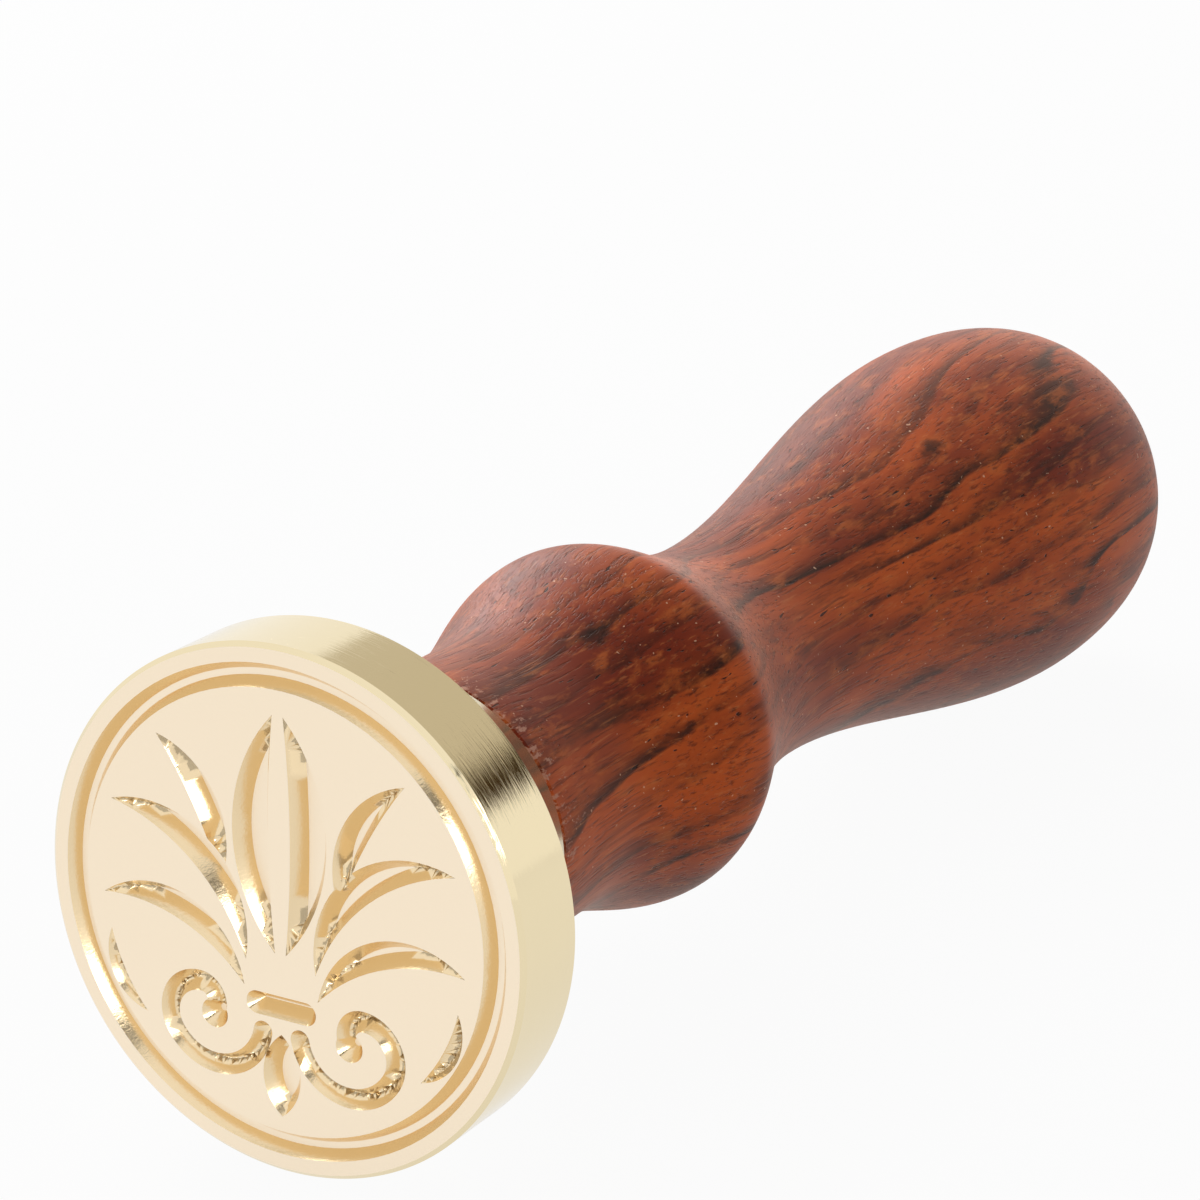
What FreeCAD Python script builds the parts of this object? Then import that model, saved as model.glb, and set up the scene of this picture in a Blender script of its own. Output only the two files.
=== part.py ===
import FreeCAD, Part
import math
import os

# A wax seal stamp: an engraved brass seal head that screws into a turned rosewood handle.
# Every piece is drawn where it sits in the stamp: the turning axis is Z, the engraved face lies at
# z = 0 and looks down, the knob is at the top, and the ornament's up is -Y. Sizes are millimetres.

# Seal head, turned from one brass bar
FACE_D = 25.0           # across the disc that prints the seal
DISC_T = 4.5            # thickness of the disc
FACE_CHAMFER = 0.22     # bright chamfer between the face and the rim
BACK_CHAMFER = 0.2      # same at the back of the disc
NECK_D = 15.5           # plain neck between the disc and the wood
NECK_LEN = 7.3
NECK_ROOT = 0.6         # small cone where the neck meets the disc
NECK_EDGE = 0.25        # chamfer at the wood's end of the neck
THREAD_D = 7.0          # stud and insert share this M7 x 1 thread
THREAD_LEN = 8.0
STUD_CHAMFER = 0.6
RELIEF_LEN = 1.2        # thread relief at the foot of the stud
RELIEF_DEPTH = 0.65

# Engraving, cut with one tapered cutter that leaves sloping walls
CUTTER_HALF_ANGLE = 35.0
CUT_DEPTH = 0.75        # narrow cuts end in a V before they reach it, wide ones get a flat floor
OVERCUT = 0.3           # how far each cut starts in front of the face
LAND = 0.68             # flat rim of the face, outside the ring groove
RING_WIDTH = 1.12
RING_DEPTH = 0.58
SCROLL_WIDTH = 1.0      # groove of the scrolls
DRAWN_FIELD_R = 10.48   # the ornament below is drawn for a plain field of this radius

# Threaded insert, a slotted brass nut glued into the wood
INSERT_WALL = 1.5
INSERT_LEN = 10.0
INSERT_CHAMFER = 0.5
INSERT_RECESS = 0.3     # below the end of the wood
SLOT_WIDTH = 1.4        # screwdriver slot across its mouth
SLOT_DEPTH = 1.1
GLUE_GROOVE_WIDTH = 2.0 # round its middle, to key the glue
GLUE_GROOVE_DEPTH = 0.4

# Handle, turned from one piece of rosewood. Lengths run along the wood from its brass end.
HANDLE_LEN = 71.8
FOOT_STEP = 0.15        # the wood ends this far inside the neck's edge, all round
FOOT_BREAK = 0.2        # sanded edge at the brass end
WAIST_IN, WAIST_AT = 0.4, 6.8    # the waist is this much slimmer than the foot, all round
BULB_D, BULB_AT = 18.72, 16.75
THROAT_D, THROAT_AT = 12.62, 29.3
KNOB_D, KNOB_TO_TIP = 21.18, 10.8
BORE_SPARE = 1.5        # room past the insert and the stud's tip
DRILL_POINT = 118.0     # included angle of the drill that made the blind bore

# Radii of the turned curves; a straight taper joins each hollow to the next swelling
WAIST_HOLLOW = 15.6
BULB_LOWER, BULB_UPPER = 7.1, 2.7
THROAT_LOWER, THROAT_UPPER = 17.5, 57.7
KNOB_LOWER, KNOB_UPPER = 46.0, 25.9
KNOB_CORNER = 6.5       # runs into the flat end of the knob

# Fits
THREAD_CLEARANCE = 0.05     # radial, between the stud and the insert
GLUE_GAP = 0.05             # radial, between the insert and the wood

HANDLE_START = DISC_T + NECK_LEN
LENGTH = HANDLE_START + HANDLE_LEN
TAPER = math.tan(math.radians(CUTTER_HALF_ANGLE))
RING_R = FACE_D / 2 - FACE_CHAMFER - LAND
ORNAMENT_SCALE = (RING_R - RING_WIDTH) / DRAWN_FIELD_R
INSERT_R = THREAD_D / 2 + INSERT_WALL
FOOT_R = NECK_D / 2 - FOOT_STEP
UP = FreeCAD.Vector(0, 0, 1)
ORIGIN = FreeCAD.Vector(0, 0, 0)


def outline_edges(points):
    """Straight edges through (radius, height) points of a turned section."""
    corners = [FreeCAD.Vector(r, 0, z) for r, z in points]
    return [Part.makeLine(a, b) for a, b in zip(corners, corners[1:])]


def turned(edges, centre=ORIGIN, angle=360.0):
    """The solid that a closed section sweeps around a vertical line through centre."""
    face = Part.Face(Part.Wire(Part.__sortEdges__(edges)))
    return face.revolve(centre, UP, angle)


def turned_polygon(points, angle=360.0):
    return turned(outline_edges(points + points[:1]), ORIGIN, angle)


# ---------------------------------------------------------------- the ornament
# A common palmette: a split bud, three pairs of fronds, a tie bar, two scrolls and a drop.
# It is drawn as the eye sees it, u to the right and v up, in millimetres from the face's centre.
# A leaf is root, tip, and how far its left and right edges swell away from the line between them.

LEAVES = [
    ((0.28, -1.9), (0.28, 9.3), -0.3, 2.2),
    ((3.1, 0.95), (6.5, 7.3), 1.65, -0.3),
    ((1.85, -2.5), (9.05, 3.7), 2.75, -1.25),
    ((1.95, -3.75), (9.55, -0.9), 2.3, -1.0),
    ((7.3, -6.3), (9.2, -2.6), -0.25, 1.0),
]
DROP = ((0.0, -9.75), (0.0, -5.75), 1.0, 1.0)
TIE_BAR_HALF = 1.3
TIE_BAR_V = -4.45
TIE_BAR_WIDTH = 1.1
SCROLL_CENTRE = (3.55, -5.35)
SCROLL_TURNS = [(2.6, 190.0, 330.0), (1.7, 330.0, 450.0), (0.9, 450.0, 575.0)]   # radius, from, to
SCROLL_EYE = 0.7


def on_face(u, v, z=0.0):
    """A point of the ornament: the eye looks up at the face, so its up is -Y on the turning axis."""
    return FreeCAD.Vector(u * ORNAMENT_SCALE, -v * ORNAMENT_SCALE, z)


def drafted_disc(centre, radius, slope):
    """The cutter's path inside a circle (slope -1) or what it must leave there (slope 1)."""
    front = radius - slope * OVERCUT * TAPER
    depth = CUT_DEPTH
    if slope < 0:
        depth = min(CUT_DEPTH, radius / TAPER)
    back = max(radius + slope * depth * TAPER, 0.0)
    start = FreeCAD.Vector(centre.x, centre.y, -OVERCUT)
    return Part.makeCone(front, back, depth + OVERCUT, start, UP)


def edge_circle(root, tip, swell):
    """Centre and radius of the arc from root to tip that swells this far to the left of the way."""
    way = tip - root
    left = FreeCAD.Vector(-way.y, way.x, 0).normalize()
    radius = (way.Length ** 2 / 4 + swell ** 2) / (2 * abs(swell))
    centre = (root + tip) * 0.5 + left * (swell - math.copysign(radius, swell))
    return centre, radius


def leaf_cut(root, tip, left_swell, right_swell):
    """A leaf between two arcs. Each edge's wall is part of a cone, so two cones make the cut."""
    a, b = on_face(*root), on_face(*tip)
    # the face is seen from below, so the eye's left edge is the axis system's right one
    sides = [(edge_circle(a, b, -left_swell * ORNAMENT_SCALE), left_swell),
             (edge_circle(a, b, right_swell * ORNAMENT_SCALE), right_swell)]
    sides.sort(key=lambda side: -side[1])
    (centre, radius), _ = sides[0]
    (other, other_radius), other_swell = sides[1]
    cut = drafted_disc(centre, radius, -1)
    if other_swell > 0:
        return cut.common(drafted_disc(other, other_radius, -1))
    return cut.cut(drafted_disc(other, other_radius, 1))


def groove_section(width):
    """Half section of a groove, as (distance from its middle, depth) points."""
    half = width / 2
    depth = min(CUT_DEPTH, half / TAPER)
    floor = max(half - depth * TAPER, 0.0)
    return half + OVERCUT * TAPER, floor, depth


def groove_end(point, width, turn):
    """The round end of a groove: half a turn of the cutter, starting across the angle turn."""
    front, floor, depth = groove_section(width)
    corners = [(0, -OVERCUT), (front, -OVERCUT), (floor, depth), (0, depth)]
    if floor == 0:
        corners.pop()
    end = turned_polygon(corners, 180.0)
    end.rotate(ORIGIN, UP, turn)
    end.translate(point)
    return end


def arc_groove(centre, radius, start, stop, width):
    """A groove of one width along an arc, in the eye's view from angle start to angle stop."""
    front, floor, depth = groove_section(width)
    corners = [(radius - front, -OVERCUT), (radius + front, -OVERCUT), (radius + floor, depth)]
    if floor > 0:
        corners.append((radius - floor, depth))
    groove = turned_polygon(corners, stop - start)
    groove.rotate(ORIGIN, UP, -stop)
    groove.translate(centre)
    return groove


def tie_bar_cut():
    front, floor, depth = groove_section(TIE_BAR_WIDTH)
    corners = [(-front, -OVERCUT), (front, -OVERCUT), (floor, depth), (-floor, depth), (-front, -OVERCUT)]
    left = on_face(-TIE_BAR_HALF, TIE_BAR_V)
    right = on_face(TIE_BAR_HALF, TIE_BAR_V)
    wire = Part.makePolygon([FreeCAD.Vector(left.x, left.y + w, z) for w, z in corners])
    bar = Part.Face(wire).extrude(right - left)
    return bar.fuse([groove_end(left, TIE_BAR_WIDTH, 90), groove_end(right, TIE_BAR_WIDTH, -90)])


def scroll_cut():
    """A spiral of three arcs, each tangent to the last, that ends in a round eye."""
    u, v = SCROLL_CENTRE
    pieces = []
    last_radius = SCROLL_TURNS[0][0]
    for radius, start, stop in SCROLL_TURNS:
        toward = math.radians(start)
        u += (last_radius - radius) * math.cos(toward)
        v += (last_radius - radius) * math.sin(toward)
        pieces.append(arc_groove(on_face(u, v), radius * ORNAMENT_SCALE, start, stop, SCROLL_WIDTH))
        last_radius = radius
    first_radius, first_angle, _ = SCROLL_TURNS[0]
    first = math.radians(first_angle)
    mouth = on_face(SCROLL_CENTRE[0] + first_radius * math.cos(first),
                    SCROLL_CENTRE[1] + first_radius * math.sin(first))
    pieces.append(groove_end(mouth, SCROLL_WIDTH, -first_angle))
    eye = math.radians(SCROLL_TURNS[-1][2])
    pieces.append(drafted_disc(on_face(u + last_radius * math.cos(eye), v + last_radius * math.sin(eye)),
                               SCROLL_EYE, -1))
    return pieces[0].fuse(pieces[1:])


def ornament_cuts():
    right = [leaf_cut(*leaf) for leaf in LEAVES]
    right.append(scroll_cut())
    left = [cut.mirror(ORIGIN, FreeCAD.Vector(1, 0, 0)) for cut in right]
    return right + left + [leaf_cut(*DROP), tie_bar_cut()]


# ---------------------------------------------------------------- the pieces

def ring_groove():
    outer = RING_R
    inner = outer - RING_WIDTH
    wall = RING_DEPTH * TAPER
    over = OVERCUT * TAPER
    return turned_polygon([(inner - over, -OVERCUT), (outer + over, -OVERCUT),
                           (outer - wall, RING_DEPTH), (inner + wall, RING_DEPTH)])


def seal_head():
    rim, neck = FACE_D / 2, NECK_D / 2
    stud = THREAD_D / 2 - THREAD_CLEARANCE
    relief = THREAD_D / 2 - RELIEF_DEPTH
    tip = HANDLE_START + THREAD_LEN
    blank = turned_polygon([(0, 0), (rim - FACE_CHAMFER, 0), (rim, FACE_CHAMFER),
                            (rim, DISC_T - BACK_CHAMFER), (rim - BACK_CHAMFER, DISC_T),
                            (neck + NECK_ROOT, DISC_T), (neck, DISC_T + NECK_ROOT),
                            (neck, HANDLE_START - NECK_EDGE), (neck - NECK_EDGE, HANDLE_START),
                            (relief, HANDLE_START), (relief, HANDLE_START + RELIEF_LEN),
                            (stud, HANDLE_START + RELIEF_LEN + stud - relief),
                            (stud, tip - STUD_CHAMFER), (stud - STUD_CHAMFER, tip), (0, tip)])
    return blank.cut([ring_groove()] + ornament_cuts())


def threaded_insert():
    bore = THREAD_D / 2
    low = HANDLE_START + INSERT_RECESS
    high = low + INSERT_LEN
    groove_low = (low + SLOT_DEPTH + high - GLUE_GROOVE_WIDTH) / 2
    groove_high = groove_low + GLUE_GROOVE_WIDTH
    groove_r = INSERT_R - GLUE_GROOVE_DEPTH
    nut = turned_polygon([(bore + INSERT_CHAMFER, low), (INSERT_R, low), (INSERT_R, groove_low),
                          (groove_r, groove_low), (groove_r, groove_high), (INSERT_R, groove_high),
                          (INSERT_R, high - INSERT_CHAMFER), (INSERT_R - INSERT_CHAMFER, high),
                          (bore, high), (bore, low + INSERT_CHAMFER)])
    slot = Part.makeBox(2 * INSERT_R, SLOT_WIDTH, SLOT_DEPTH,
                        FreeCAD.Vector(-INSERT_R, -SLOT_WIDTH / 2, low))
    return nut.cut(slot)


def arc_between(centre_r, centre_z, radius, start, stop):
    """An arc of the outline from angle start to stop, measured from the radius toward the tip."""
    def at(angle):
        return FreeCAD.Vector(centre_r + radius * math.cos(angle), 0, centre_z + radius * math.sin(angle))
    return Part.Arc(at(start), at((start + stop) / 2), at(stop))


def hollow_to_swelling(low, low_radius, high, high_radius):
    """An outline from a hollow to a swelling, both (radius, height): it leaves the first in line
    with the axis along an arc, runs straight, and turns back in line with the axis at the second.
    Arcs too large to leave room for a straight taper are made smaller until they just touch."""
    rise = abs(high[0] - low[0])
    run = abs(high[1] - low[1])
    way = math.copysign(1, high[1] - low[1])
    most = (run ** 2 + rise ** 2) / (2 * rise)
    shrink = min(1.0, 0.999 * most / (low_radius + high_radius))
    low_radius, high_radius = low_radius * shrink, high_radius * shrink
    both = low_radius + high_radius
    turn = math.atan2(run, both - rise) - math.acos(both / math.hypot(run, both - rise))
    hollow = arc_between(low[0] + low_radius, low[1], low_radius, math.pi, math.pi - way * turn)
    parts = 2 if high_radius * turn > high[0] / 2 else 1
    swelling = arc_in_parts(high[0] - high_radius, high[1], high_radius, -way * turn, 0, parts)
    taper = Part.LineSegment(hollow.EndPoint, swelling[0].StartPoint)
    return [hollow, taper] + swelling


def arc_in_parts(centre_r, centre_z, radius, start, stop, count):
    """A long arc drawn as a few shorter ones, because short faces mesh far lighter."""
    step = (stop - start) / count
    return [arc_between(centre_r, centre_z, radius, start + part * step, start + (part + 1) * step)
            for part in range(count)]


def knob_end():
    """From the knob's widest ring to its flat end: a long shoulder, then a tighter corner."""
    side_r, side_z = KNOB_D / 2 - KNOB_UPPER, LENGTH - KNOB_TO_TIP
    corner_z = LENGTH - KNOB_CORNER
    meet = math.asin((corner_z - side_z) / (KNOB_UPPER - KNOB_CORNER))
    corner_r = side_r + (KNOB_UPPER - KNOB_CORNER) * math.cos(meet)
    flat = Part.LineSegment(FreeCAD.Vector(corner_r, 0, LENGTH), FreeCAD.Vector(0, 0, LENGTH))
    return ([arc_between(side_r, side_z, KNOB_UPPER, 0, meet)]
            + arc_in_parts(corner_r, corner_z, KNOB_CORNER, meet, math.pi / 2, 3) + [flat])


def handle_outline():
    """The turned outline of the wood, from its foot to the middle of the knob's flat end."""
    foot = FOOT_R, HANDLE_START + FOOT_BREAK
    waist = FOOT_R - WAIST_IN, HANDLE_START + WAIST_AT
    bulb = BULB_D / 2, HANDLE_START + BULB_AT
    throat = THROAT_D / 2, HANDLE_START + THROAT_AT
    knob = KNOB_D / 2, LENGTH - KNOB_TO_TIP
    centre = waist[0] + WAIST_HOLLOW
    apart = math.hypot(foot[0] - centre, waist[1] - foot[1])
    start = math.pi + math.atan2(waist[1] - foot[1], centre - foot[0]) - math.acos(WAIST_HOLLOW / apart)
    lead_in = arc_between(centre, waist[1], WAIST_HOLLOW, start, math.pi)
    return ([Part.LineSegment(FreeCAD.Vector(foot[0], 0, foot[1]), lead_in.StartPoint), lead_in]
            + hollow_to_swelling(waist, WAIST_HOLLOW, bulb, BULB_LOWER)
            + hollow_to_swelling(throat, THROAT_LOWER, bulb, BULB_UPPER)
            + hollow_to_swelling(throat, THROAT_UPPER, knob, KNOB_LOWER) + knob_end())


def handle():
    bore = INSERT_R + GLUE_GAP
    bore_end = HANDLE_START + max(INSERT_RECESS + INSERT_LEN, THREAD_LEN) + BORE_SPARE
    point = bore_end + bore / math.tan(math.radians(DRILL_POINT / 2))
    inside = outline_edges([(0, LENGTH), (0, point), (bore, bore_end), (bore, HANDLE_START),
                            (FOOT_R - FOOT_BREAK, HANDLE_START), (FOOT_R, HANDLE_START + FOOT_BREAK)])
    return turned([curve.toShape() for curve in handle_outline()] + inside)


os.makedirs("parts", exist_ok=True)
pieces = {"seal_head": seal_head(), "threaded_insert": threaded_insert(), "handle": handle()}
for name, piece in pieces.items():
    piece.exportStep(f"parts/{name}.step")
    box = piece.BoundBox
    print(name, piece.isValid(), len(piece.Solids), "volume", round(piece.Volume, 2),
          "box", [round(x, 3) for x in (box.XMin, box.XMax, box.YMin, box.YMax, box.ZMin, box.ZMax)])
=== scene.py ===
"""A wax seal stamp: an engraved brass head that screws into a turned rosewood handle.

The stamp stands on its engraved face, with Z along its turning axis. Each section below is one
piece, in the order in which the stamp is put together. The studio and the camera come last.
"""

import math

import bpy
from mathutils import Matrix, Vector


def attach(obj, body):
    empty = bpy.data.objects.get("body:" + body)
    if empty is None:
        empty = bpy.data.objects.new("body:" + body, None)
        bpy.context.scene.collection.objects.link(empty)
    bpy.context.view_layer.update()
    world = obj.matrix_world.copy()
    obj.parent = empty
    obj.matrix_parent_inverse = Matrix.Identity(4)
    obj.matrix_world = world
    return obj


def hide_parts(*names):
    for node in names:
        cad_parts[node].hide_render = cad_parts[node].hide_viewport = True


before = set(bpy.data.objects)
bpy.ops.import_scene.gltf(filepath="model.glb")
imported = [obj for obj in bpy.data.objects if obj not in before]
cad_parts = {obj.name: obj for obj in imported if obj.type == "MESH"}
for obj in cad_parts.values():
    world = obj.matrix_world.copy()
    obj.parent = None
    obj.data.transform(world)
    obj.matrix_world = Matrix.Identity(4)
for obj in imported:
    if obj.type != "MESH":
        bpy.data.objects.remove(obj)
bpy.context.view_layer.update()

# ---------------------------------------------------------------- seal head
# One brass turning: the engraved disc, a plain neck and an M7 stud. It was turned and polished on
# the lathe, the face was skimmed flat, and the ornament was cut with a small tapered cutter.

# Sizes in mm: radii from the turning axis, and heights above the engraved face.
MM = 0.001
RIM_R, FACE_R, DISC_BACK, RIM_BREAK = 12.5, 12.28, 4.5, 0.2
NECK_R, NECK_END, NECK_ROOT, NECK_EDGE = 7.75, 11.8, 0.6, 0.25
RELIEF_R, RELIEF_END, CORE_START = 2.85, 12.9, 13.0
STUD_R, STUD_TIP, STUD_BREAK = 3.45, 19.8, 0.1
THREAD_FOOT, THREAD_PITCH, THREAD_CORE, STUD_TURNS = 13.3, 1.0, 2.92, 6
RIDGE_SUNK = 0.03             # the ridge's root lies this deep in the stud's core
RIDGE_FOOT, RIDGE_TOP = 0.46, 0.07    # half its width at root and crest, in pitches
ENGRAVED_TO = 1.0             # the engraving is nowhere deeper than this
CHAMFER_START = 0.03          # the turned part takes over this far up the chamfer
CAD_SEAM, LATHE_SEAM = 0.0005, 0.001  # points nearer than this are one
LATHE_STEPS, RIDGE_STEPS = 288, 72
CREASE = math.radians(24)     # edges sharper than this stay sharp


def only(*pieces):
    """Selects these pieces and nothing else, the first one active, for the operators that follow."""
    if bpy.context.object and bpy.context.object.mode != "OBJECT":
        bpy.ops.object.mode_set(mode="OBJECT")
    bpy.ops.object.select_all(action="DESELECT")
    bpy.context.view_layer.objects.active = pieces[0]
    for piece in pieces:
        piece.select_set(True)


def merged_copy(node, name):
    """A CAD node's loose triangles, joined into one closed mesh that can be worked on."""
    piece = bpy.data.objects.new(name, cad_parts[node].data.copy())
    bpy.context.scene.collection.objects.link(piece)
    piece.data.name = name
    piece.data.materials.clear()
    only(piece)
    bpy.ops.object.mode_set(mode="EDIT")
    bpy.ops.mesh.select_all(action="SELECT")
    bpy.ops.mesh.remove_doubles(threshold=CAD_SEAM * MM)
    bpy.ops.object.mode_set(mode="OBJECT")
    return piece


def drawn_outline(name, corners, curves, resolution):
    """A lathe outline, drawn as a curve, in mm: first sharp corners (radius, height), then smooth
    points (radius, height, reach before, reach after) where it runs in line with the axis. The
    reaches are those of the point's two handles."""
    bpy.ops.object.select_all(action="DESELECT")
    bpy.ops.curve.primitive_bezier_curve_add()
    drawn = bpy.context.object
    drawn.name = name
    drawn.data.resolution_u = resolution
    knots = drawn.data.splines[0].bezier_points
    knots.add(len(corners) + len(curves) - len(knots))
    for knot, (radius, height) in zip(knots, corners):
        knot.handle_left_type = knot.handle_right_type = "VECTOR"
        knot.co = Vector((radius, 0.0, height)) * MM
    for knot, (radius, height, before, after) in zip(knots[len(corners):], curves):
        knot.handle_left_type = knot.handle_right_type = "FREE"
        knot.co = Vector((radius, 0.0, height)) * MM
        knot.handle_left = Vector((radius, 0.0, height - before)) * MM
        knot.handle_right = Vector((radius, 0.0, height + after)) * MM
    return drawn


def spun(outline):
    """Turns an outline round the stamp's axis into a surface, as on the lathe."""
    only(outline)
    bpy.ops.object.transform_apply(location=True, rotation=True, scale=True)
    bpy.ops.object.mode_set(mode="EDIT")
    bpy.ops.mesh.select_all(action="SELECT")
    bpy.ops.mesh.spin(steps=LATHE_STEPS, angle=math.tau, center=(0.0, 0.0, 0.0), axis=(0.0, 0.0, 1.0))
    bpy.ops.mesh.select_all(action="SELECT")
    bpy.ops.mesh.remove_doubles(threshold=LATHE_SEAM * MM)
    bpy.ops.object.mode_set(mode="OBJECT")
    outline.data.name = outline.name
    return outline


def thread_ridge(name, root, crest, start, turns):
    """The ridge of a right-hand screw thread, from its root radius to its crest, closed at its
    ends. The start is the height of the middle of its first turn."""
    bpy.ops.object.select_all(action="DESELECT")
    bpy.ops.mesh.primitive_plane_add(size=1.0, location=(0.0, 0.0, 0.0))
    ridge = bpy.context.object
    ridge.name = ridge.data.name = name
    half_foot, half_top = RIDGE_FOOT * THREAD_PITCH, RIDGE_TOP * THREAD_PITCH
    section = [(root, -half_foot), (crest, -half_top), (root, half_foot), (crest, half_top)]
    for vertex, (radius, height) in zip(ridge.data.vertices, section):
        vertex.co = Vector((radius, 0.0, start + height)) * MM
    only(ridge)
    bpy.ops.object.mode_set(mode="EDIT")
    bpy.ops.mesh.select_all(action="SELECT")
    bpy.ops.mesh.delete(type="ONLY_FACE")
    bpy.ops.object.mode_set(mode="OBJECT")
    screw = ridge.modifiers.new("screw", "SCREW")
    screw.axis = "Z"
    screw.angle = math.tau
    screw.screw_offset = THREAD_PITCH * MM
    screw.iterations = turns
    screw.steps = screw.render_steps = RIDGE_STEPS
    bpy.ops.object.modifier_apply(modifier="screw")
    bpy.ops.object.mode_set(mode="EDIT")
    bpy.ops.mesh.select_all(action="SELECT")
    bpy.ops.mesh.remove_doubles(threshold=LATHE_SEAM * MM)
    bpy.ops.mesh.fill_holes(sides=8)
    bpy.ops.mesh.select_all(action="SELECT")
    bpy.ops.mesh.normals_make_consistent(inside=False)
    bpy.ops.object.mode_set(mode="OBJECT")
    return ridge


def linear(hex_colour):
    """An sRGB hex colour as the linear RGBA that shaders take."""
    channels = [int(hex_colour[i:i + 2], 16) / 255 for i in (1, 3, 5)]
    return [c / 12.92 if c <= 0.04045 else ((c + 0.055) / 1.055) ** 2.4 for c in channels] + [1.0]


def add(tree, kind, links=(), **settings):
    """Adds one node, sets its named inputs or properties, and links (input, output) pairs to it."""
    node = tree.nodes.new(kind)
    for name, value in settings.items():
        if hasattr(node, name):
            setattr(node, name, value)
        else:
            node.inputs[name.replace("_", " ")].default_value = value
    for name, output in links:
        tree.links.new(output, node.inputs[name])
    return node


def new_material(name):
    """An empty material with its shader: returns the material, its node tree and the shader."""
    material = bpy.data.materials.new(name)
    material.use_nodes = True
    return material, material.node_tree, material.node_tree.nodes["Principled BSDF"]


def per_mm(tree, across, along, shift=(0.0, 0.0, 0.0)):
    """Object coordinates with so many pattern units per mm across the turning axis and along it."""
    where = add(tree, "ShaderNodeTexCoord")
    scaled = add(tree, "ShaderNodeMapping", [("Vector", where.outputs["Object"])])
    scaled.inputs["Scale"].default_value = (across / MM, across / MM, along / MM)
    scaled.inputs["Location"].default_value = shift
    return scaled.outputs["Vector"]


def tool_marks(tree, shader, across, along, detail, breakup, depth):
    """Shallow marks of the cutting tool, so many per mm across the turning axis and along it."""
    marks = add(tree, "ShaderNodeTexNoise", [("Vector", per_mm(tree, across, along))],
                Scale=1.0, Detail=detail, Roughness=breakup)
    bump = add(tree, "ShaderNodeBump", [("Height", marks.outputs["Fac"])],
               Strength=1.0, Distance=depth * MM)
    tree.links.new(bump.outputs["Normal"], shader.inputs["Normal"])


def turned_brass():
    """Brass turned and polished on a lathe: clear reflections, drawn out into fine rings."""
    material, tree, shader = new_material("turned_brass")
    shader.inputs["Base Color"].default_value = linear("#EFDFB9")
    shader.inputs["Metallic"].default_value = 1.0
    shader.inputs["Roughness"].default_value = 0.08
    tool_marks(tree, shader, across=0.09, along=9.0, detail=3.0, breakup=0.65, depth=0.006)
    return material


def skimmed_brass():
    """Brass skimmed flat by a face cutter: satin, with a fine even grain and no clear reflection."""
    material, tree, shader = new_material("skimmed_brass")
    shader.inputs["Base Color"].default_value = linear("#FFEED4")
    shader.inputs["Metallic"].default_value = 1.0
    shader.inputs["Roughness"].default_value = 0.3
    tool_marks(tree, shader, across=5.0, along=5.0, detail=4.0, breakup=0.7, depth=0.008)
    return material


def cut_brass():
    """Brass fresh from the engraving cutter: bright walls with short marks. Their deeper gold than the face
    is painted light: it stands in for the light bounced between the walls of the cuts."""
    material, tree, shader = new_material("cut_brass")
    # painted light: this deeper gold stands in for the light bounced between the cut walls
    shader.inputs["Base Color"].default_value = linear("#F1DAB2")
    shader.inputs["Metallic"].default_value = 1.0
    shader.inputs["Roughness"].default_value = 0.2
    tool_marks(tree, shader, across=7.0, along=1.5, detail=3.0, breakup=0.65, depth=0.008)
    return material


# The engraved face comes from the CAD solid, and everything behind it is turned afresh, finely
# enough for clear reflections. The two meet on the chamfer round the face.
head = merged_copy("seal_head", "brass_seal_head")
bpy.ops.object.mode_set(mode="EDIT")
bpy.ops.mesh.select_mode(type="FACE")
bpy.ops.object.mode_set(mode="OBJECT")
for polygon in head.data.polygons:
    middle = polygon.center / MM
    polygon.select = middle.z > ENGRAVED_TO or middle.xy.length > FACE_R
bpy.ops.object.mode_set(mode="EDIT")
bpy.ops.mesh.delete(type="FACE")
bpy.ops.mesh.select_mode(type="VERT")
bpy.ops.object.mode_set(mode="OBJECT")
turning = drawn_outline("head_turning", [
    (FACE_R + CHAMFER_START, CHAMFER_START), (RIM_R, RIM_R - FACE_R),
    (RIM_R, DISC_BACK - RIM_BREAK), (RIM_R - RIM_BREAK, DISC_BACK),
    (NECK_R + NECK_ROOT, DISC_BACK), (NECK_R, DISC_BACK + NECK_ROOT),
    (NECK_R, NECK_END - NECK_EDGE), (NECK_R - NECK_EDGE, NECK_END),
    (RELIEF_R, NECK_END), (RELIEF_R, RELIEF_END), (THREAD_CORE, CORE_START),
    (THREAD_CORE, STUD_TIP - STUD_BREAK), (THREAD_CORE - STUD_BREAK, STUD_TIP),
    (0.0, STUD_TIP)], [], resolution=1)
only(turning)
bpy.ops.object.convert(target="MESH")
turning = spun(turning)
only(head, turning)
bpy.ops.object.join()
bpy.ops.object.mode_set(mode="EDIT")
bpy.ops.mesh.select_all(action="DESELECT")
bpy.ops.mesh.select_non_manifold(extend=False)
bpy.ops.mesh.bridge_edge_loops()
bpy.ops.mesh.select_all(action="SELECT")
bpy.ops.mesh.normals_make_consistent(inside=False)
bpy.ops.object.mode_set(mode="OBJECT")
ridge = thread_ridge("stud_thread", THREAD_CORE - RIDGE_SUNK, STUD_R, THREAD_FOOT, STUD_TURNS)
only(head, ridge)
bpy.ops.object.join()
bpy.ops.object.shade_smooth_by_angle(angle=CREASE)
for finish in (turned_brass(), skimmed_brass(), cut_brass()):
    head.data.materials.append(finish)
SKIMMED, CUT = 1, 2           # the rest keeps slot 0, turned
LEVEL = -0.99                 # a normal at least this far down is on the face or a cut's floor
for polygon in head.data.polygons:
    middle = polygon.center / MM
    level = polygon.normal.z < LEVEL
    if middle.z < ENGRAVED_TO and middle.xy.length < FACE_R:
        polygon.material_index = SKIMMED if level else CUT
        polygon.use_smooth = not level
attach(head, "head")
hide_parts("seal_head")

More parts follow.
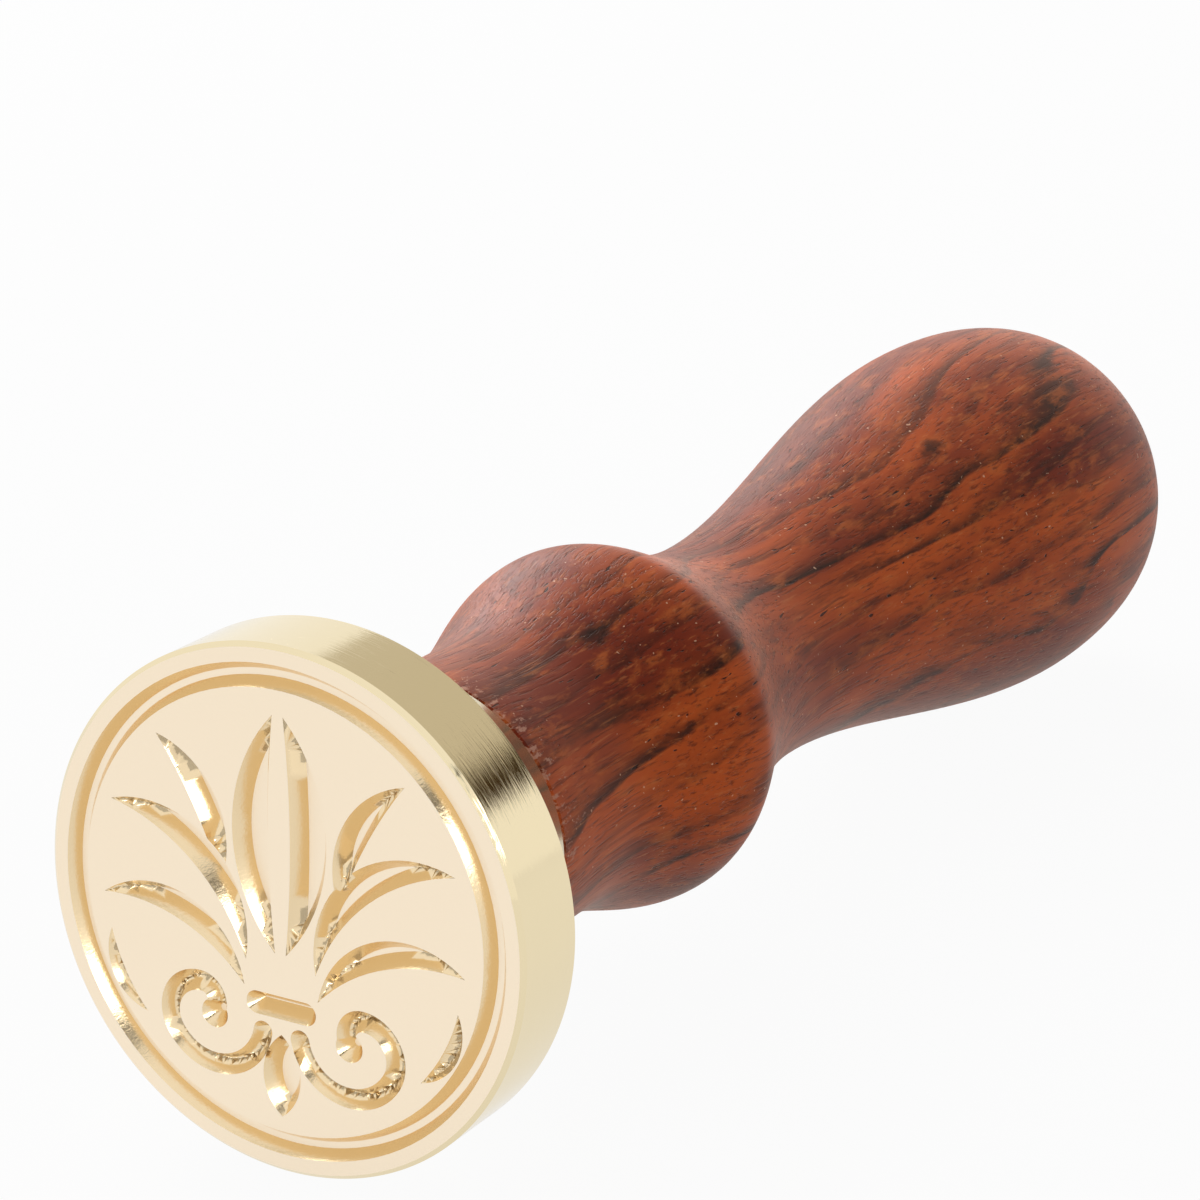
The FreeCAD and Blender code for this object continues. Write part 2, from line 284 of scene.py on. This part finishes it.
# ---------------------------------------------------------------- threaded insert
# A slotted brass nut, glued into the end of the wood for the head to screw into. It shows only
# when the stamp is unscrewed. Its own thread turns with the wood, as the glued nut does.


def machined_brass():
    """Brass as it left the lathe: duller and yellower than the polished head, with tool lines."""
    material, tree, shader = new_material("machined_brass")
    shader.inputs["Base Color"].default_value = linear("#D9BE7E")
    shader.inputs["Metallic"].default_value = 1.0
    shader.inputs["Roughness"].default_value = 0.28
    tool_marks(tree, shader, across=0.2, along=7.0, detail=3.0, breakup=0.6, depth=0.008)
    return material


insert_finish = machined_brass()
insert = merged_copy("threaded_insert", "brass_threaded_insert")
bpy.ops.object.shade_smooth_by_angle(angle=CREASE)
insert.data.materials.append(insert_finish)
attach(insert, "insert")
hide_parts("threaded_insert")

# The ridge starts past the screwdriver slot, and its crest stays clear of the stud's core.
INSERT_BORE, CREST_CLEAR, FIRST_TURN, INSERT_TURNS = 3.5, 0.06, 13.8, 7
insert_thread = thread_ridge("insert_thread", INSERT_BORE, THREAD_CORE + CREST_CLEAR,
                             FIRST_TURN, INSERT_TURNS)
only(insert_thread)
bpy.ops.object.shade_smooth_by_angle(angle=CREASE)
insert_thread.data.materials.append(insert_finish)
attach(insert_thread, "handle")

# ---------------------------------------------------------------- handle
# One piece of rosewood, turned with the grain along it: a foot that meets the brass, a bulb, a
# slim throat and a long knob. It was sanded fine and waxed, so it has a soft shine.

WOOD_START, WOOD_END = 11.8, 83.6
FOOT_R, FOOT_BREAK = 7.6, 0.2
BORE_R, BORE_END, DRILL_TIP = 5.05, 23.6, 26.63
# Waist, bulb, throat, knob and the pole at its end: radius, height, and the reach of the
# curve's handles before the point and after it. The knob comes in to its pole flat.
WOOD_CURVES = [(7.2, 18.64, 3.4, 4.23), (9.37, 28.54, 2.62, 2.06), (6.31, 41.62, 7.68, 10.25),
               (10.59, 72.41, 8.97, 9.5), (0.0, WOOD_END, 0.0, 0.0)]
KNOB_BLUNTNESS = 7.81
CURVE_STEPS = 28
WOOD_CREASE = math.radians(30)

# Growth rings: how far apart their sheets lie, by how many rings noise moves them, and the
# direction across them. The profile gives how dark a ring is, from its start at 0 to its end at 1.
RING_PITCH, RING_WANDER, RING_LEAN = 2.3, 5.0, (0.555, 0.832, 0.07)
RING_PROFILE = [(0.34, 0.0), (0.64, 0.38), (0.84, 0.9), (0.91, 1.0), (0.97, 0.5)]
# Finer marks: patterns per mm across and along the grain, their detail, where in the noise they
# start and are full, their strength and their colour.
WOOD_MARKS = [
    ("mottle", 1.0, 0.4, 4.0, 0.5, 0.72, 0.55, "#C6652A"),
    ("wisp", 1.3, 0.07, 5.0, 0.45, 0.3, 0.6, "#34130B"),
    ("fibre", 5.5, 0.22, 3.0, 0.51, 0.29, 0.58, "#3A150B"),
    ("pale fibre", 4.5, 0.22, 3.0, 0.55, 0.75, 0.4, "#CC7A45"),
    ("pore", 4.0, 0.7, 1.0, 0.71, 0.76, 0.9, "#1C0B07"),
    ("speck", 5.0, 4.0, 0.0, 0.82, 0.86, 0.7, "#E0B393")]
# Knots: place and reach. Lengths along the grain count only this share, which draws a knot out.
KNOTS, KNOT_STRETCH = [(3.1, -7.1, 22.4, 0.75), (3.9, -7.8, 58.9, 0.7)], 0.5
TORN_TO = 15.0                # torn fibres reach this far up from the brass


def rosewood():
    """Rosewood, turned, sanded and waxed: red-brown figure under dark growth streaks and open
    pores, and a thin wax that hazes the colour where the eye meets it at a low angle."""
    material, tree, shader = new_material("waxed_rosewood")

    # Broad figure, 6 mm across and 30 mm long, from red-brown to orange-brown.
    figure = add(tree, "ShaderNodeTexNoise", [("Vector", per_mm(tree, 0.17, 0.03, (3.1, 0.4, 0.7)))],
                 Scale=1.0, Detail=4.0, Roughness=0.6, Distortion=0.2)
    warmth = add(tree, "ShaderNodeMapRange", [("Value", figure.outputs["Fac"])],
                 interpolation_type="SMOOTHSTEP", From_Min=0.36, From_Max=0.64)
    colour = add(tree, "ShaderNodeMix", [("Factor", warmth.outputs["Result"])],
                 data_type="RGBA", A=linear("#762712"), B=linear("#C0541F"))

    # Growth rings cut lengthwise. They are sheets that lean a little to the turning axis, so each
    # shows as a long streak that darkens slowly and ends faster. Each ring has its own strength.
    where = add(tree, "ShaderNodeTexCoord")
    depth = add(tree, "ShaderNodeVectorMath", [(0, where.outputs["Object"])], operation="DOT_PRODUCT")
    depth.inputs[1].default_value = Vector(RING_LEAN) / (RING_PITCH * MM)
    wander = add(tree, "ShaderNodeTexNoise", [("Vector", per_mm(tree, 0.1, 0.03, (1.7, 2.2, 0.2)))],
                 Scale=1.0, Detail=4.0, Roughness=0.38)
    count = add(tree, "ShaderNodeMath", [(0, wander.outputs["Fac"]), (2, depth.outputs["Value"])],
                operation="MULTIPLY_ADD")
    count.inputs[1].default_value = RING_WANDER
    ring = add(tree, "ShaderNodeMath", [(0, count.outputs["Value"])], operation="FRACT")
    number = add(tree, "ShaderNodeMath", [(0, count.outputs["Value"])], operation="FLOOR")
    lot = add(tree, "ShaderNodeTexWhiteNoise", [("W", number.outputs["Value"])], noise_dimensions="1D")
    strength = add(tree, "ShaderNodeMapRange", [("Value", lot.outputs["Value"])],
                   From_Min=0.1, From_Max=0.9, To_Min=0.4, To_Max=1.0)
    line = add(tree, "ShaderNodeFloatCurve", [("Value", ring.outputs["Value"])])
    line.mapping.curves[0].points[-1].location = (1.0, 0.0)    # a ring ends as pale as it starts
    for place, dark in RING_PROFILE:
        line.mapping.curves[0].points.new(place, dark)
    line.mapping.update()
    patches = add(tree, "ShaderNodeTexNoise", [("Vector", per_mm(tree, 0.5, 0.06, (4.0, 0.3, 6.1)))],
                  Scale=1.0, Detail=4.0, Roughness=0.65)
    unbroken = add(tree, "ShaderNodeMapRange", [("Value", patches.outputs["Fac"])],
                   interpolation_type="SMOOTHSTEP", From_Min=0.34, From_Max=0.56, To_Min=0.1)
    shown = add(tree, "ShaderNodeMath", [(0, line.outputs["Value"]), (1, strength.outputs["Result"])],
                operation="MULTIPLY")
    streak = add(tree, "ShaderNodeMath", [(0, shown.outputs["Value"]), (1, unbroken.outputs["Result"])],
                 operation="MULTIPLY")
    colour = add(tree, "ShaderNodeMix",
                 [("Factor", streak.outputs["Value"]), ("A", colour.outputs["Result"])],
                 data_type="RGBA", B=linear("#2A120B"))

    # The finer marks, each from its own part of the noise.
    marks = {}
    for name, across, along, detail, start, full, share, tint in WOOD_MARKS:
        noise = add(tree, "ShaderNodeTexNoise",
                    [("Vector", per_mm(tree, across, along, (len(marks) * 7.3, 1.9, 4.7)))],
                    Scale=1.0, Detail=detail, Roughness=0.6, Distortion=0.2)
        marks[name] = add(tree, "ShaderNodeMapRange", [("Value", noise.outputs["Fac"])],
                          interpolation_type="SMOOTHSTEP", From_Min=start, From_Max=full, To_Max=share)
        colour = add(tree, "ShaderNodeMix",
                     [("Factor", marks[name].outputs["Result"]), ("A", colour.outputs["Result"])],
                     data_type="RGBA", B=linear(tint))

    # Two small knots with frayed edges, darkest in the middle. The fraying noise is 0.5 on
    # average, and the knots' places are moved by as much.
    frays = add(tree, "ShaderNodeTexNoise", [("Vector", per_mm(tree, 1.6, 1.0))], Scale=1.0, Detail=3.0)
    spot = add(tree, "ShaderNodeVectorMath",
               [(0, frays.outputs["Color"]), (1, per_mm(tree, 1.0, KNOT_STRETCH))], operation="ADD")
    for x, y, z, reach in KNOTS:
        gap = add(tree, "ShaderNodeVectorMath", [(0, spot.outputs["Vector"])], operation="DISTANCE")
        gap.inputs[1].default_value = Vector((x, y, z * KNOT_STRETCH)) + Vector((0.5, 0.5, 0.5))
        knot = add(tree, "ShaderNodeMapRange", [("Value", gap.outputs["Value"])],
                   From_Min=reach, From_Max=0.35 * reach, To_Max=0.85)
        colour = add(tree, "ShaderNodeMix",
                     [("Factor", knot.outputs["Result"]), ("A", colour.outputs["Result"])],
                     data_type="RGBA", B=linear("#200D0A"))

    # Fibres torn pale by the parting tool, where the wood meets the brass.
    end = add(tree, "ShaderNodeSeparateXYZ", [("Vector", where.outputs["Object"])])
    nearness = add(tree, "ShaderNodeMapRange", [("Value", end.outputs["Z"])],
                   From_Min=TORN_TO * MM, From_Max=WOOD_START * MM, To_Max=0.22)
    tearing = add(tree, "ShaderNodeTexNoise", [("Vector", per_mm(tree, 2.4, 1.0, (0.0, 3.0, 0.0)))],
                  Scale=1.0, Detail=6.0, Roughness=0.7)
    torn = add(tree, "ShaderNodeMath", [(0, nearness.outputs["Result"]), (1, tearing.outputs["Fac"])],
               operation="ADD")
    pale = add(tree, "ShaderNodeMapRange", [("Value", torn.outputs["Value"])],
               interpolation_type="SMOOTHSTEP", From_Min=0.7, From_Max=0.78, To_Max=0.7)
    colour = add(tree, "ShaderNodeMix",
                 [("Factor", pale.outputs["Result"]), ("A", colour.outputs["Result"])],
                 data_type="RGBA", B=linear("#C08E78"))
    tree.links.new(colour.outputs["Result"], shader.inputs["Base Color"])

    # The wax: hardly any mirror shine, and a warm pale haze at low angles. Fibres and pores lie
    # a little below the surface.
    shader.inputs["Roughness"].default_value = 0.4
    shader.inputs["Specular IOR Level"].default_value = 0.06
    shader.inputs["Sheen Weight"].default_value = 0.55
    shader.inputs["Sheen Roughness"].default_value = 0.42
    shader.inputs["Sheen Tint"].default_value = linear("#E8C4B4")
    relief = add(tree, "ShaderNodeMath",
                 [(0, marks["fibre"].outputs["Result"]), (1, marks["pore"].outputs["Result"])],
                 operation="ADD")
    bump = add(tree, "ShaderNodeBump", [("Height", relief.outputs["Value"])],
               invert=True, Strength=1.0, Distance=0.03 * MM)
    tree.links.new(bump.outputs["Normal"], shader.inputs["Normal"])
    return material


handle = drawn_outline("rosewood_handle", [
    (0.0, DRILL_TIP), (BORE_R, BORE_END), (BORE_R, WOOD_START), (FOOT_R - FOOT_BREAK, WOOD_START),
    (FOOT_R, WOOD_START + FOOT_BREAK)], WOOD_CURVES, resolution=CURVE_STEPS)
pole = handle.data.splines[0].bezier_points[-1]
pole.handle_left = Vector((KNOB_BLUNTNESS, 0.0, WOOD_END)) * MM
only(handle)
bpy.ops.object.convert(target="MESH")
handle = spun(handle)
only(handle)
bpy.ops.object.mode_set(mode="EDIT")
bpy.ops.mesh.select_all(action="SELECT")
bpy.ops.mesh.normals_make_consistent(inside=False)
bpy.ops.object.mode_set(mode="OBJECT")
bpy.ops.object.shade_smooth_by_angle(angle=WOOD_CREASE)
handle.data.materials.append(rosewood())
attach(handle, "handle")
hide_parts("handle")

# ---------------------------------------------------------------- studio
# The stamp is pictured lying on a white table, on its disc and its knob. The stamp keeps its own
# upright place here, and the table, the lights and the camera are set round it to suit.

LYING_TILT = math.radians(1.589)      # the knob is slimmer than the disc, so the axis slopes
TABLE_BELOW = 12.614 * MM             # from the middle of the face down to the table
TABLE_SPAN = 1.6                      # metres, as all distances in the room
MID_STAMP = 0.04                      # the middle of the stamp, along its axis
FLOOR_DROP = 0.2 * MM                 # keeps the engraved face off the floor


def studio(right, away, up):
    """A direction or a place, in metres from the middle of the face, of the room with the table."""
    return Vector((right, -away * math.sin(LYING_TILT) - up * math.cos(LYING_TILT),
                   away * math.cos(LYING_TILT) - up * math.sin(LYING_TILT)))


ROOM = Matrix((studio(1, 0, 0), studio(0, 1, 0), studio(0, 0, 1))).transposed().to_4x4()


def white_laminate(name, colour, seen_glow, mirrored_glow):
    """Matt white laminate, seen from its front only: it looks white and keeps a soft shadow. The glow
    is the share of plain white, to the eye and in the polished brass."""
    material, tree, shader = new_material(name)
    shader.inputs["Base Color"].default_value = linear(colour)
    shader.inputs["Roughness"].default_value = 0.9
    rays = add(tree, "ShaderNodeLightPath")
    mirrored = add(tree, "ShaderNodeMath", [(0, rays.outputs["Is Glossy Ray"])], operation="MULTIPLY")
    mirrored.inputs[1].default_value = mirrored_glow
    share = add(tree, "ShaderNodeMath",
                [(0, rays.outputs["Is Camera Ray"]), (2, mirrored.outputs["Value"])],
                operation="MULTIPLY_ADD")
    share.inputs[1].default_value = seen_glow
    glow = add(tree, "ShaderNodeEmission", Strength=1.0)
    front = add(tree, "ShaderNodeMixShader",
                [(0, share.outputs["Value"]), (1, shader.outputs["BSDF"]), (2, glow.outputs["Emission"])])
    side = add(tree, "ShaderNodeNewGeometry")
    clear = add(tree, "ShaderNodeBsdfTransparent")
    both = add(tree, "ShaderNodeMixShader",
               [(0, side.outputs["Backfacing"]), (1, front.outputs["Shader"]), (2, clear.outputs["BSDF"])])
    tree.links.new(both.outputs["Shader"], tree.nodes["Material Output"].inputs["Surface"])
    return material


def white_plane(name, place, finish):
    """A wide white surface, placed by a matrix that takes a level plane to where it stands."""
    bpy.ops.object.select_all(action="DESELECT")
    bpy.ops.mesh.primitive_plane_add(size=TABLE_SPAN)
    plane = bpy.context.object
    plane.name = plane.data.name = name
    plane.data.transform(place)
    plane.data.materials.append(finish)
    return plane


white_plane("table", ROOM @ Matrix.Translation((0.0, MID_STAMP, -TABLE_BELOW)),
            white_laminate("white_table", "#B4B4B4", 0.95, 0.84))
# Seen from elsewhere, the stamp stands on this floor. The camera of the picture looks up through it.
floor = white_plane("floor", Matrix.Translation((0.0, 0.0, -FLOOR_DROP)),
                    white_laminate("white_floor", "#F2F2F2", 0.8, 0.0))
floor.visible_diffuse = floor.visible_glossy = floor.visible_shadow = floor.visible_transmission = False


def grey_card(name, size, at, turn, grey):
    """A card out of the picture that shows in reflections only. The turn lifts its far edge."""
    bpy.ops.object.select_all(action="DESELECT")
    bpy.ops.mesh.primitive_plane_add(size=1.0)
    card = bpy.context.object
    card.name = card.data.name = name
    shape = Matrix.Diagonal((size[0], size[1], 1.0, 1.0))
    card.data.transform(ROOM @ Matrix.Translation(at) @ Matrix.Rotation(turn, 4, "X") @ shape)
    material, tree, _ = new_material(name)
    glow = add(tree, "ShaderNodeEmission", Strength=1.0, Color=linear(grey))
    tree.links.new(glow.outputs["Emission"], tree.nodes["Material Output"].inputs["Surface"])
    card.data.materials.append(material)
    card.visible_camera = card.visible_diffuse = card.visible_shadow = False
    card.visible_transmission = False


# A pale ceiling over the table, a dark valance behind it and a dark canopy to the right: the rim
# mirrors them as its khaki and dark bands.
grey_card("ceiling", (2.0, 1.15), (0.55, 0.475, 0.55), 0.0, "#D0CABD")
grey_card("valance", (1.6, 0.25), (0.5, 1.2, 0.555), math.radians(90), "#3C2E1A")
grey_card("canopy", (1.2, 0.9), (1.0, -0.02, 0.5), 0.0, "#2A2622")

# The world is plain white to the eye and in reflections, and lights the stamp at a lower level.
world = bpy.data.worlds.new("white_studio")
world.use_nodes = True
bpy.context.scene.world = world
sky = world.node_tree
lamps = sky.nodes["Background"]
lamps.inputs["Color"].default_value = (1.0, 1.0, 1.0, 1.0)
lamps.inputs["Strength"].default_value = 0.27
seen = add(sky, "ShaderNodeBackground", Strength=1.0, Color=(1.0, 1.0, 1.0, 1.0))
rays = add(sky, "ShaderNodeLightPath")
direct = add(sky, "ShaderNodeMath",
             [(0, rays.outputs["Is Camera Ray"]), (1, rays.outputs["Is Glossy Ray"])], operation="MAXIMUM")
shown = add(sky, "ShaderNodeMath",
            [(0, direct.outputs["Value"]), (1, rays.outputs["Is Transmission Ray"])], operation="MAXIMUM")
mixed = add(sky, "ShaderNodeMixShader",
            [(0, shown.outputs["Value"]), (1, lamps.outputs["Background"]), (2, seen.outputs["Background"])])
sky.links.new(mixed.outputs["Shader"], sky.nodes["World Output"].inputs["Surface"])


def softbox(name, at, size, watts):
    """A soft rectangular lamp at a place in the room, aimed at the middle of the stamp."""
    place, aim = studio(*at), studio(0.0, MID_STAMP, 0.0)
    bpy.ops.object.light_add(type="AREA", location=place)
    lamp = bpy.context.object
    lamp.name = lamp.data.name = name
    lamp.data.shape = "RECTANGLE"
    lamp.data.size, lamp.data.size_y = size
    lamp.data.energy = watts
    lamp.rotation_euler = (aim - place).to_track_quat("-Z", "Y").to_euler()


softbox("overhead_softbox", (-0.35, 0.2, 0.6), (0.5, 0.5), 2.3)
softbox("window_softbox", (-0.7, 0.45, 0.42), (0.6, 0.6), 7.6)
softbox("side_softbox", (0.49, -0.25, 0.24), (0.2, 0.2), 0.7)

# The camera of the picture: it looks from the right of the face, and a little down.
AZIMUTH, ELEVATION = math.radians(29.67), math.radians(19.51)
CAMERA_AT = (0.087059, -0.124398, 0.068263)
SENSOR_WIDTH, LENS, NEAREST = 36.0, 112.875, 0.005
back = studio(math.sin(AZIMUTH) * math.cos(ELEVATION), -math.cos(AZIMUTH) * math.cos(ELEVATION),
              math.sin(ELEVATION))
right = studio(math.cos(AZIMUTH), math.sin(AZIMUTH), 0.0)
bpy.ops.object.camera_add()
camera = bpy.context.object
camera.name = "camera"
camera.matrix_world = (Matrix.Translation(studio(*CAMERA_AT))
                       @ Matrix((right, back.cross(right), back)).transposed().to_4x4())
camera.data.sensor_width = SENSOR_WIDTH
camera.data.lens = LENS
camera.data.clip_start = NEAREST
bpy.context.scene.camera = camera
bpy.context.scene.view_settings.view_transform = "Standard"
